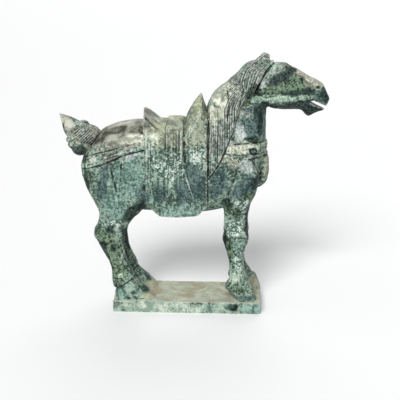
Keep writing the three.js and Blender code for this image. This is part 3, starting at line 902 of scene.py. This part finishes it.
def carve(mesh):
    points = points_of(mesh)
    normals = normals_of(mesh)
    x, y, z = points.T
    outward = rise(normals[:, 1] * np.sign(y), 0.05, 0.45) * (z > PLINTH_HEIGHT + 1)
    depth, grime_and_shade = side_cuts(points, outward)
    flutes = fluting(points, outward)
    chest = chest_carving(points, outward) + rear_carving(points, outward)
    hooves = hoof_cuts(points)
    standing = rise(z, 0.5, 3)
    height = flutes + chest + hooves - depth + worn(points) * standing
    move_points(mesh, points + normals * height[:, None])
    # Painted shade and grime: each place's share of darkening from how deep it lies in a cut, flute or
    # hoof line.
    grime_and_shade = np.maximum.reduce([grime_and_shade, -0.75 * flutes, -0.9 * chest, -0.6 * hooves])
    return np.clip(grime_and_shade, 0, 1)


# The kinds of stone and of painted light, a later one over an earlier one. Each has the seed of its
# outlines, its dark and light tone, and its clouds: x, z, half length, half height and tilt. Clouds run
# askew to the far side.
CLOUD_SKEW = (0.4, 0.14)
CLOUD_EDGE = (0.35, 1.4)
STONE_AND_PAINTED_LIGHT = {
    "teal": (31, (68, 94, 84), (136, 163, 152), [
        (-80, 212, 30, 38), (-108, 172, 20, 32, -10), (-100, 212, 16, 22), (-100, 28, 14, 11),
        (100, 8, 20, 12), (22, 7, 22, 8), (-10, 163, 40, 10), (-34, 6, 16, 6), (-60, 178, 20, 16),
        (74, 108, 16, 8),
    ]),
    "slate": (32, (38, 58, 56), (90, 111, 108), [
        (13, 208, 20, 36), (-38, 190, 11, 18), (-5, 195, 12, 22), (-124, 198, 9, 32, -12),
        (48, 208, 14, 34, -5), (-64, 186, 10, 14), (92, 296, 30, 36, 8), (90, 205, 16, 18),
        (194, 332, 16, 14), (90, 24, 14, 5), (80, 190, 20, 15),
    ]),
    "grey": (33, (76, 88, 82), (160, 168, 157), [
        (66, 334, 32, 42, 20), (42, 262, 18, 50, -8), (100, 360, 20, 28, -30), (114, 384, 11, 10),
        (64, 300, 16, 24, 20), (-56, 303, 10, 14, -35), (112, 350, 14, 13), (124, 371, 14, 8, 5),
        (-160, 268, 24, 17),
    ]),
    "leaf": (34, (24, 38, 30), (110, 131, 106), [
        (154, 346, 34, 20, -14), (-143, 208, 8, 16), (-114, 96, 18, 36, 20), (-106, 64, 15, 24, 15),
        (62, 90, 8, 28), (86, 322, 9, 7), (-43, 262, 8, 6), (-132, 122, 9, 10),
        (134, 340, 34, 9, 3), (66, 162, 16, 8), (70, 118, 16, 7), (98, 180, 14, 12),
        (78, 38, 13, 7, -25),
    ]),
    "lilac": (35, (122, 134, 131), (184, 191, 187), [
        (76, 281, 9, 19, 14), (88, 230, 12, 13), (-80, 244, 15, 6, 14), (64, 262, 11, 12, 20),
        # The spot at (176, 338) is a painted highlight at the corner of the mouth.
        (176, 338, 8, 5, -20), (108, 350, 8, 9),
    ]),
    "frost": (36, (60, 86, 74), (200, 213, 203), [
        (8, 247, 26, 10), (-26, 228, 18, 22), (74, 132, 22, 15), (-106, 138, 13, 8, 40),
        (38, 236, 8, 9), (34, 202, 4, 13), (80, 84, 7, 20), (84, 172, 12, 8), (-50, 246, 8, 12),
    ]),
    "moss": (37, (100, 108, 92), (160, 166, 146), [
        (-14, 284, 50, 26), (14, 276, 18, 16), (180, 346, 14, 8, -25), (117, 232, 5, 30),
        (18, 306, 14, 30), (-148, 252, 7, 13, -25), (-166, 264, 8, 12),
    ]),
    "brown": (38, (100, 102, 92), (156, 156, 144), [
        (-100, 274, 58, 26, 8), (-92, 291, 48, 12, 4), (-57, 306, 10, 14, -35), (52, 349, 9, 8, 40),
    ]),
    "olive": (39, (136, 142, 118), (190, 196, 168), [
        (-18, 302, 22, 9), (18, 320, 7, 15), (-40, 284, 12, 12, -40),
    ]),
    "cream": (40, (138, 143, 126), (208, 212, 194), [
        (-76, 268, 28, 7, 4), (50, 333, 18, 21, -38), (42, 304, 15, 15), (80, 256, 26, 9),
        (58, 243, 8, 6), (182, 353, 18, 5, -28), (69, 235, 10, 8), (-46, 272, 10, 10),
        (-118, 284, 12, 3, 30),
    ]),
    "mint": (43, (114, 139, 122), (182, 205, 186), [
        (134, 327, 40, 6, 3), (112, 324, 9, 4, 20), (122, 374, 10, 4),
    ]),
    "umber": (44, (60, 62, 53), (118, 118, 104), [
        (-78, 282, 32, 4.5, 3), (-124, 268, 14, 7, 40), (-108, 243, 18, 6, 20),
        (160, 364, 22, 6, -28),
    ]),
    "tan": (41, (142, 142, 130), (184, 183, 170), [
        (-180, 285, 16, 12, -50), (-98, 292, 34, 7, 4), (176, 357, 28, 4, -28),
        (-136, 238, 7, 3, 15),
    ]),
    "pale": (42, (124, 147, 133), (184, 194, 178), [
        (-30, 8, 88, 12), (106, 217, 18, 2.4, -72), (50, 247, 24, 2), (-52, 264, 1.3, 30),
        (-57, 266, 1.2, 24), (-5.5, 268, 1.3, 30), (11, 289, 32, 1.4, 62), (-92, 250, 40, 1.2, 17),
        # The thin pale line at (-95, 96) is a painted highlight at the inner edge of the hind leg.
        (3, 208, 1.2, 26, 18), (-95, 96, 26, 1.4, 75), (72, 57, 14, 10), (-99, 56, 5, 4, 20),
    ]),
    # The deep clouds are painted shade: under the jaw and chin, behind the cheek, down the front of the
    # neck, on the belly, under the tail and along the edges of the legs.
    "deep": (45, (6, 14, 12), (48, 70, 62), [
        (108, 290, 4, 26), (147, 312, 52, 9), (183, 308, 20, 13), (103, 206, 9, 14, -20),
        (-160, 244, 18, 12), (-74, 164, 22, 8, 32), (-92, 112, 6, 30, 12), (-120, 82, 5, 28, 18),
        (60, 172, 14, 8), (92, 338, 6, 14, -25), (-84, 150, 16, 8, 40), (96, 268, 10, 6),
        (70, 10, 9, 7), (91, 140, 5, 28), (114, 314, 12, 6), (-116, 40, 8, 12), (57, 110, 4, 34),
        (98, 252, 7, 7), (200, 330, 8, 12), (-128, 104, 8, 8), (162, 336, 26, 6, 5),
        (-150, 196, 7, 24, -12), (-110, 98, 6, 8), (-114, 128, 10, 8, 30),
    ]),
    # The night clouds are the dark patch on the forehead, and painted shade behind the cheek, round the
    # mouth, under the jaw and on a facet of the tail's flame.
    "night": (46, (14, 22, 24), (58, 73, 70), [
        (138, 358, 24, 10, 37), (99, 340, 8, 10, -20), (178, 320, 16, 6), (-187, 276, 4, 14),
        (146, 313, 46, 6),
    ]),
}


def cloud_share(points, seed, clouds):
    """How much of one kind of cloud each place has, from 0 to 1, with wandering outlines."""
    far = np.maximum(0, points[:, 1])
    x = points[:, 0] + CLOUD_SKEW[0] * far
    z = points[:, 2] + CLOUD_SKEW[1] * far
    wander = 0.2 * ripple(points, 16, seed) + 0.12 * ripple(points, 6, seed + 50)
    share = np.zeros(len(x))
    for middle_x, middle_z, length, height, *tilt in clouds:
        angle = radians(sum(tilt))
        c = cos(angle)
        s = sin(angle)
        along = (x - middle_x) * c + (z - middle_z) * s
        up = (z - middle_z) * c - (x - middle_x) * s
        away = np.hypot(along / length, up / height) + wander
        share = np.maximum(share, fall(away, *CLOUD_EDGE))
    return share


def streaked(points):
    """Where the stone's grain runs up and down in streaks: the flap, the haunch and the mane."""
    x, _, z = points.T
    flap = inside(x, -60, 30, 3) * inside(z, 165, 286, 8)
    haunch = 0.7 * inside(x, -130, -62, 8) * inside(z, 150, 238, 10)
    return np.maximum.reduce([flap, haunch, in_mane(x, z)])


def broad_grained(points):
    """Where the grain is broad and calm: plinth, hind hooves, croup, tail tip, seat and crest."""
    x, _, z = points.T
    plinth_side = (z < PLINTH_HEIGHT) * 0.5
    hind_hoof = 0.6 * (x < -40) * fall(z, 34, 50)
    croup = 0.8 * inside(x, -128, -52, 8) * rise(z, 255, 268)
    flame_tip = 0.8 * fall(x, -178, -162) * rise(z, 262, 274)
    seat = 0.5 * inside(x, -50, 8, 6) * rise(z, 278, 288)
    smooth_mane = 0.7 * bell(x - 46, 18) * bell(z - 322, 24)
    return np.maximum.reduce([plinth_side, hind_hoof, croup, flame_tip, seat, smooth_mane])


def sandy(points, normals):
    """Where the stone is worn to sand: the plinth's top, the hind feet and the far fore foot."""
    x, y, z = points.T
    top = np.clip(normals[:, 2], 0, 1) * (z < PLINTH_HEIGHT + 1.5)
    toes = inside(x, -72, -38, 7) * fall(z, 24, 40)
    heels = fall(x, -110, -104) * fall(z, 24, 38)
    far_foot = rise(x, 78, 94) * fall(z, 32, 62) * (y > 4) * 0.85
    feet = np.maximum.reduce([toes, heels, far_foot]) * (z > PLINTH_HEIGHT)
    return np.maximum(top, feet)


# How deep a hollow lies before it takes painted shade and grime, and how far an edge stands out before
# it takes wear and a painted highlight, in mm; and the rounds of smoothing that measure it.
GRIME_AND_SHADE_FROM = 0.15
WEAR_AND_HIGHLIGHT_FROM = 0.12
BULGE_ROUNDS = 12


def bulge(points, normals, edges):
    """How far each place stands out of its surroundings, in mm: below 0 in a hollow."""
    mean = points
    for _ in range(BULGE_ROUNDS):
        mean = neighbour_mean(mean, edges)
    return np.einsum("ij,ij->i", points - mean, normals)


def mark_surface(mesh, grime_and_shade):
    points = points_of(mesh)
    normals = normals_of(mesh)
    stands_out = bulge(points, normals, edges_of(mesh))
    # Painted shade: hollows darken along with the grime in the cuts.
    hollow = np.clip(-stands_out - GRIME_AND_SHADE_FROM, 0, 1)
    marks = {
        "grime_and_shade": np.clip(grime_and_shade + 0.8 * hollow, 0, 1),
        # Rubbed wear with a painted highlight: places that stand out get a pale tone.
        "wear_and_highlight": np.clip(1.6 * (stands_out - WEAR_AND_HIGHLIGHT_FROM), 0, 1),
        "sandy": sandy(points, normals),
        "streaks": streaked(points),
        "broad": broad_grained(points),
    }
    for name, (seed, _, _, clouds) in STONE_AND_PAINTED_LIGHT.items():
        marks[name] = cloud_share(points, seed, clouds)
    for name, values in marks.items():
        layer = mesh.attributes.new(name, "FLOAT", "POINT")
        layer.data.foreach_set("value", values.astype(np.float32))


# The stone
class Nodes:
    """Short names for the nodes that a material is built from."""

    def __init__(self, material):
        material.use_nodes = True
        self.tree = material.node_tree
        self.surface = self.tree.nodes["Principled BSDF"]
        self.place = self.new("TexCoord").outputs["Object"]

    def new(self, kind):
        return self.tree.nodes.new("ShaderNode" + kind)

    def node(self, kind, **values):
        made = self.new(kind)
        for name, value in values.items():
            self.feed(value, made.inputs[name])
        return made

    def feed(self, value, socket):
        if isinstance(value, bpy.types.NodeSocket):
            self.tree.links.new(value, socket)
        else:
            socket.default_value = value

    def attribute(self, name):
        made = self.new("Attribute")
        made.attribute_name = name
        return made.outputs["Fac"]

    def noise(self, size, detail=4, roughness=0.6, distortion=0.0, shift=0.0, upright=1.0):
        """Noise with clumps of about size millimetres, drawn out upwards where upright is below 1."""
        moved = self.new("VectorMath")
        moved.operation = "MULTIPLY_ADD"
        parts = (self.place, (1, 1, upright), (shift, shift * 0.7, shift * 1.3))
        for value, socket in zip(parts, moved.inputs):
            self.feed(value, socket)
        made = self.node("TexNoise", Vector=moved.outputs[0], Scale=1 / (size * MM), Detail=detail,
                         Roughness=roughness, Distortion=distortion)
        return made.outputs["Fac"]

    def ranged(self, value, low, high, least, most):
        made = self.node("MapRange", Value=value)
        for socket, number in zip(list(made.inputs)[1:5], (low, high, least, most)):
            socket.default_value = number
        return made

    def rise(self, value, low, high, top=1.0):
        """0 below low and top above high, with a smooth rise between."""
        made = self.ranged(value, low, high, 0, top)
        made.interpolation_type = "SMOOTHSTEP"
        return made.outputs["Result"]

    def spread(self, noise, least, most):
        """Noise brought from its usual reach about a half to run from least to most."""
        return self.ranged(noise, 0.3, 0.7, least, most).outputs["Result"]

    def math(self, operation, a, b):
        made = self.new("Math")
        made.operation = operation
        self.feed(a, made.inputs[0])
        self.feed(b, made.inputs[1])
        return made.outputs[0]

    def plus(self, a, b):
        return self.math("ADD", a, b)

    def less(self, a, b):
        return self.math("SUBTRACT", a, b)

    def times(self, a, b):
        return self.math("MULTIPLY", a, b)

    def blend(self, share, a, b):
        return self.node("Mix", Factor=share, A=a, B=b).outputs[0]

    def mix(self, share, a, b, blend="MIX"):
        made = self.new("Mix")
        made.data_type = "RGBA"
        made.blend_type = blend
        self.feed(share, made.inputs[0])
        self.feed(a, made.inputs[6])
        self.feed(b, made.inputs[7])
        return made.outputs[2]


def tint(*tone):
    """A colour given from 0 to 255, as the linear one that a shader takes."""
    def linear(v):
        v /= 255
        return v / 12.92 if v <= 0.04045 else ((v + 0.055) / 1.055) ** 2.4

    return (*[linear(v) for v in tone], 1)


GROUND = (tint(48, 68, 59), tint(142, 163, 148))
DEEP = tint(20, 28, 26)
# The pale tone of rubbed edges, which also paints a highlight on them.
RUBBED_AND_HIGHLIGHT = tint(200, 204, 192)
SAND = (tint(156, 160, 138), tint(178, 183, 164))
RUST = tint(150, 140, 110)


def veins(n):
    """Thin pale lines that wander over parts of the stone."""
    wander = n.noise(17, 4, 0.6, 0.5, 8.3)
    line = n.math("ABSOLUTE", n.less(wander, 0.5), 0)
    patches = n.rise(n.noise(30, 2, 0.5, 0.2, 2.9), 0.48, 0.6)
    return n.times(n.less(1, n.rise(line, 0, 0.014)), patches)


def grain_of(n, fine):
    """Where the stone takes its light tone: mottled, streaked up and down, or in broad patches."""
    coarse = n.times(n.noise(12, 3, 0.55, 0.4, 3.1), 0.2)
    mottle = n.plus(coarse, n.times(n.noise(4.2, 3, 0.55, 0.3, 1.7), 0.4))
    drawn_out = n.times(n.noise(3.5, 3, 0.5, 0.1, 5.3, 0.1), 0.25)
    streak = n.plus(drawn_out, n.times(n.noise(6, 3, 0.55, 0.3, 4.9), 0.35))
    both = n.plus(n.blend(n.attribute("streaks"), mottle, streak), n.times(fine, 0.4))
    calm = n.blend(n.attribute("broad"), both, n.noise(13, 4, 0.5, 0.4, 6.6))
    drift = n.less(n.noise(48, 2, 0.5, 0.2, 9.1), n.times(n.attribute("frost"), 0.2))
    return n.plus(calm, n.times(drift, 0.16))


def sand_of(n):
    """The calm sandy tone of the plinth's top, with rusty clouds."""
    sand = n.mix(n.rise(n.noise(14, 4, 0.55, 0.6, 5.9), 0.4, 0.6), SAND[0], SAND[1])
    return n.mix(n.rise(n.noise(34, 4, 0.55, 0.8, 4.3), 0.48, 0.62, 0.8), sand, RUST)


def green_stone():
    """Clouds of stone and of painted light in two tones each, cuts and hollows darkened by grime and
    painted shade, rubbed edges with a painted highlight, and a sandy top to the plinth.
    """
    material = bpy.data.materials.new("green_stone")
    n = Nodes(material)
    middle = n.noise(5, 4, 0.6, 0.3, 2.3)
    fine = n.noise(2.7, 3, 0.6, 0.2, 7.7)
    dark, light = GROUND
    edge = n.times(n.plus(middle, fine), 0.8)
    for name, (_, dark_tone, light_tone, _) in STONE_AND_PAINTED_LIGHT.items():
        ragged = n.plus(n.attribute(name), n.less(edge, 0.8))
        share = n.rise(ragged, 0.2, 0.8, 0.95)
        dark = n.mix(share, dark, tint(*dark_tone))
        light = n.mix(share, light, tint(*light_tone))
    colour = n.mix(n.rise(grain_of(n, fine), 0.515, 0.66), dark, light)
    calm = n.less(1, n.times(n.attribute("broad"), 0.75))
    colour = n.mix(n.times(veins(n), n.times(calm, 0.45)), colour, light)
    pits = n.rise(n.noise(4, 2, 0.5, 0.2, 3.7), 0.62, 0.7, 0.75)
    colour = n.mix(n.times(pits, calm), colour, DEEP)
    colour = n.mix(calm, colour, n.spread(n.noise(2.2, 3, 0.6, 0.1, 6.1), 0.75, 1.25), "MULTIPLY")
    worn_down = n.plus(n.attribute("sandy"), n.times(middle, 0.5))
    colour = n.mix(n.rise(worn_down, 0.85, 1.25, 0.92), colour, sand_of(n))
    # Rubbed wear and a painted highlight: a pale tone on edges that stand out.
    wear_and_highlight = n.times(n.attribute("wear_and_highlight"), n.rise(fine, 0.3, 0.6))
    colour = n.mix(n.rise(wear_and_highlight, 0.1, 0.8, 0.4), colour, RUBBED_AND_HIGHLIGHT)
    # Painted shade and grime: cuts and hollows darken towards the deep tone.
    grime_and_shade = n.times(n.attribute("grime_and_shade"), n.rise(middle, 0.2, 0.5))
    colour = n.mix(n.rise(grime_and_shade, 0.1, 0.8, 0.9), colour, DEEP)
    n.feed(colour, n.surface.inputs["Base Color"])
    n.feed(n.spread(fine, 0.34, 0.6), n.surface.inputs["Roughness"])
    n.surface.inputs["Specular IOR Level"].default_value = 0.16
    grain = n.node("Bump", Height=fine, Strength=0.35, Distance=0.4 * MM)
    n.feed(grain.outputs["Normal"], n.surface.inputs["Normal"])
    return material


def make_horse():
    piece = object_of("jade_horse", *gathered([body_solid(), *dressing()]))
    remeshed(piece, SKIN_VOXEL)
    mesh = piece.data
    move_points(mesh, relaxed(points_of(mesh), edges_of(mesh), SKIN_ROUNDS))
    mark_surface(mesh, carve(mesh))
    thin = piece.modifiers.new("thin", "DECIMATE")
    mesh.calc_loop_triangles()
    thin.ratio = min(1, MOST_TRIANGLES / len(mesh.loop_triangles))
    work_in_modifiers(piece)
    piece.data.shade_smooth()
    piece.data.materials.append(green_stone())
    return piece


# Floor, light and camera
def studio_floor():
    """A pale floor, flat round the horse, that rises slowly into a wide and shallow bowl."""
    rings = []
    for out in np.linspace(0, 1, 16):
        radius = 3000 + 25000 * out
        rings.append(oval_ring((0, 0, 4500 * out ** 2), radius, radius, 96))
    points, faces = loft(rings)
    top_fan = (faces == len(points) - 1).any(1)
    floor = object_of("floor", points, faces[~top_fan])
    floor.data.shade_smooth()
    paint = bpy.data.materials.new("pale_floor")
    paint.use_nodes = True
    surface = paint.node_tree.nodes["Principled BSDF"]
    surface.inputs["Base Color"].default_value = (0.88, 0.88, 0.88, 1)
    surface.inputs["Roughness"].default_value = 0.6
    floor.data.materials.append(paint)


def soft_sun(name, towards, width, strength):
    """Even light from one side of the sky, as wide as a soft box looks."""
    lamp = bpy.data.lights.new(name, "SUN")
    lamp.angle = radians(width)
    lamp.energy = strength
    holder = new_object(name, lamp)
    holder.rotation_mode = "QUATERNION"
    holder.rotation_quaternion = Vector(towards).to_track_quat("Z", "Y")


def studio_light():
    world = bpy.data.worlds.new("studio")
    bpy.context.scene.world = world
    world.use_nodes = True
    sky = world.node_tree.nodes["Background"]
    sky.inputs["Color"].default_value = (0.97, 0.98, 1, 1)
    sky.inputs["Strength"].default_value = 0.25
    soft_sun("key", (-0.22, -0.9, 0.8), 26, 3.1)
    soft_sun("fill", (-0.9, -0.2, 0.5), 60, 0.35)
    soft_sun("rim", (0.1, 0.8, 0.7), 50, 0.8)
    bpy.context.scene.view_settings.view_transform = "Standard"


def photo_camera():
    azimuth = radians(CAMERA_AZIMUTH)
    elevation = radians(CAMERA_ELEVATION)
    back = Vector((
        sin(azimuth) * cos(elevation),
        -cos(azimuth) * cos(elevation),
        sin(elevation),
    ))
    data = bpy.data.cameras.new("photo_view")
    data.lens = CAMERA_LENS
    data.sensor_width = 36
    data.clip_start = 0.01
    camera = new_object("photo_view", data)
    camera.location = (Vector(CAMERA_TARGET) + back * CAMERA_DISTANCE) * MM
    camera.rotation_mode = "QUATERNION"
    camera.rotation_quaternion = (-back).to_track_quat("-Z", "Y")
    bpy.context.scene.camera = camera


photo_camera()
horse = make_horse()
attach(horse, "root")
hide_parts("horse_on_plinth")
studio_floor()
studio_light()
